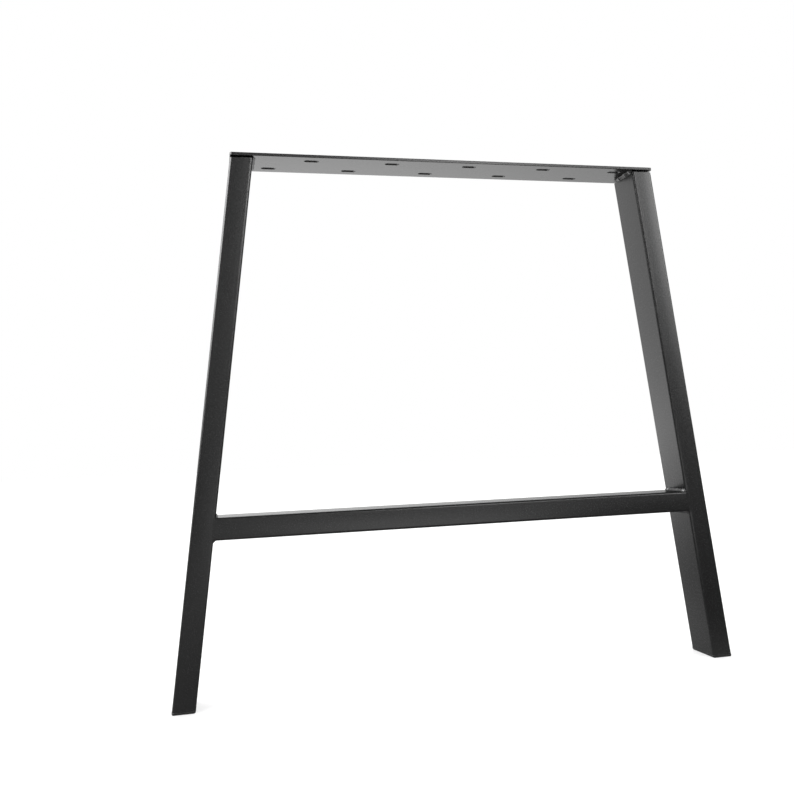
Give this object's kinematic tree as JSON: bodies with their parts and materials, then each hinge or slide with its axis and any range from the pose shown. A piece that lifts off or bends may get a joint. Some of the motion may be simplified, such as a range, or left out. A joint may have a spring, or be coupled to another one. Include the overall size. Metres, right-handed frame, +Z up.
{
  "type": "trestle table leg",
  "caption": "Welded steel trestle frame: leaning rectangular-tube legs joined by a crossbar under a flat top plate with staggered screw slots, ending in plastic foot caps.",
  "frame": {"origin": "on the floor, midway between the feet and midway through the frame's depth", "axes": "+X along the plate and crossbar, +Y through the frame's depth, +Z up to the table top"},
  "size_m": [0.7994, 0.065, 0.72],
  "materials": {
    "powder_coated_steel": "satin black powder coat",
    "cap_plastic": "moulded black polyethylene"
  },
  "bodies": {
    "root": {"top_plate": "powder_coated_steel", "crossbar": "powder_coated_steel", "leg_left": "powder_coated_steel", "leg_right": "powder_coated_steel", "weld_plate_left": "powder_coated_steel", "weld_bar_top_left": "powder_coated_steel", "weld_bar_under_left": "powder_coated_steel", "seam_front_left": "powder_coated_steel", "seam_back_left": "powder_coated_steel", "weld_plate_right": "powder_coated_steel", "weld_bar_top_right": "powder_coated_steel", "weld_bar_under_right": "powder_coated_steel", "seam_front_right": "powder_coated_steel", "seam_back_right": "powder_coated_steel", "foot_cap_left": "cap_plastic", "foot_cap_right": "cap_plastic"}
  },
  "joints": []
}
